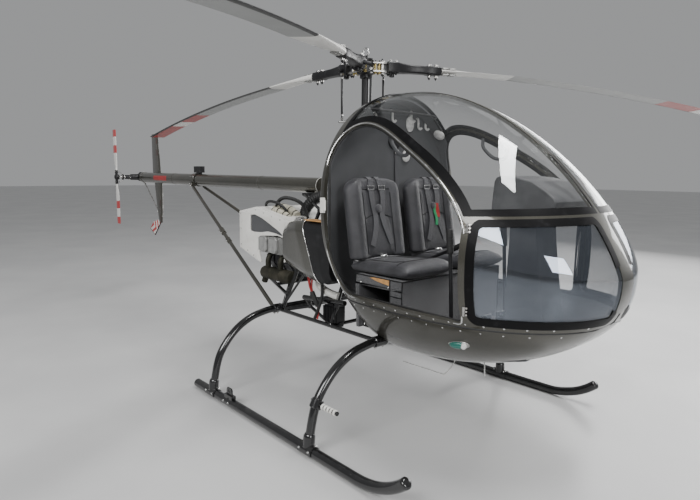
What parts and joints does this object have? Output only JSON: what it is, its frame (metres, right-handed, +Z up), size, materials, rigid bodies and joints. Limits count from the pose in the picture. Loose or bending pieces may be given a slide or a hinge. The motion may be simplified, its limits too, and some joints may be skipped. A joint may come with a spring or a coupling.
{
  "type": "light two-seat helicopter on skids",
  "caption": "Light piston helicopter with a bubble cabin, doors off, main and tail rotor, open engine bay and skids.",
  "frame": {"origin": "on the floor, on the plane of symmetry, at mid-length of the whole outline; the rotor mast stands 1.134 m ahead of it", "axes": "+X forward to the nose, +Y to port (the left of the people inside), +Z up"},
  "size_m": [5.946, 6.0082, 2.402],
  "materials": {
    "body_bronze": "satin metallic",
    "gear_black": "gloss",
    "black_matt": "matt",
    "inside_grey": "matt",
    "cowl_white": "matt",
    "steel": "bright",
    "cast_metal": "as cast",
    "seat_leather": "soft grain",
    "carpet": "short pile",
    "blade_grey": "satin, red bands near the tip",
    "canopy_clear": "clear, lightly tinted",
    "lamp_green": "clear",
    "lamp_red": "clear",
    "tail_blade_white": "gloss, red bands"
  },
  "bodies": {
    "airframe": {"belly_shell": "body_bronze", "rear_shell": "inside_grey", "sill_frame": "body_bronze", "hoop_frame": "body_bronze", "centre_post": "body_bronze", "cabin_floor": "carpet", "console": "inside_grey", "seat_riser": "black_matt", "cyclics": "black_matt", "collective": "black_matt", "pedals_left": "steel", "pedals_right": "steel", "gearbox": "cast_metal", "swash_fixed": "cast_metal", "truss_frame": "gear_black", "engine_block": "cast_metal", "engine_cowl": "cowl_white", "intake_duct": "black_matt", "exhaust": "body_bronze", "tail_boom": "body_bronze", "upper_fin": "body_bronze", "lower_fin": "body_bronze", "stabiliser": "body_bronze", "tail_gearbox": "black_matt", "front_cross_tube": "gear_black", "rear_cross_tube": "gear_black", "side_frame_left": "body_bronze", "upper_window_left": "canopy_clear", "lower_window_left": "canopy_clear", "seat_back_left": "seat_leather", "seat_cushion_left": "seat_leather", "fuel_tank_left": "body_bronze", "boom_strut_left": "body_bronze", "skid_left": "gear_black", "side_frame_right": "body_bronze", "upper_window_right": "canopy_clear", "lower_window_right": "canopy_clear", "seat_back_right": "seat_leather", "seat_cushion_right": "seat_leather", "fuel_tank_right": "body_bronze", "boom_strut_right": "body_bronze", "skid_right": "gear_black", "nav_light_left": "lamp_red", "nav_light_right": "lamp_green"},
    "main_rotor": {"mast": "black_matt", "swash_turning": "cast_metal", "rotor_hub": "steel", "blade_grip_1": "black_matt", "blade_1": "blade_grey", "pitch_link_1": "black_matt", "blade_grip_2": "black_matt", "blade_2": "blade_grey", "pitch_link_2": "black_matt", "blade_grip_3": "black_matt", "blade_3": "blade_grey", "pitch_link_3": "black_matt"},
    "tail_rotor": {"tail_hub": "black_matt", "tail_blade_1": "tail_blade_white", "tail_blade_2": "tail_blade_white"}
  },
  "joints": [
    {"name": "main_rotor_spin", "type": "hinge", "parent": "airframe", "child": "main_rotor", "pos_m": [1.134, 0, 2.273], "axis": [0, 0, 1], "continuous": true},
    {"name": "tail_rotor_spin", "type": "hinge", "parent": "airframe", "child": "tail_rotor", "pos_m": [-2.906, -0.3, 1.482], "axis": [0, 1, 0], "continuous": true}
  ]
}
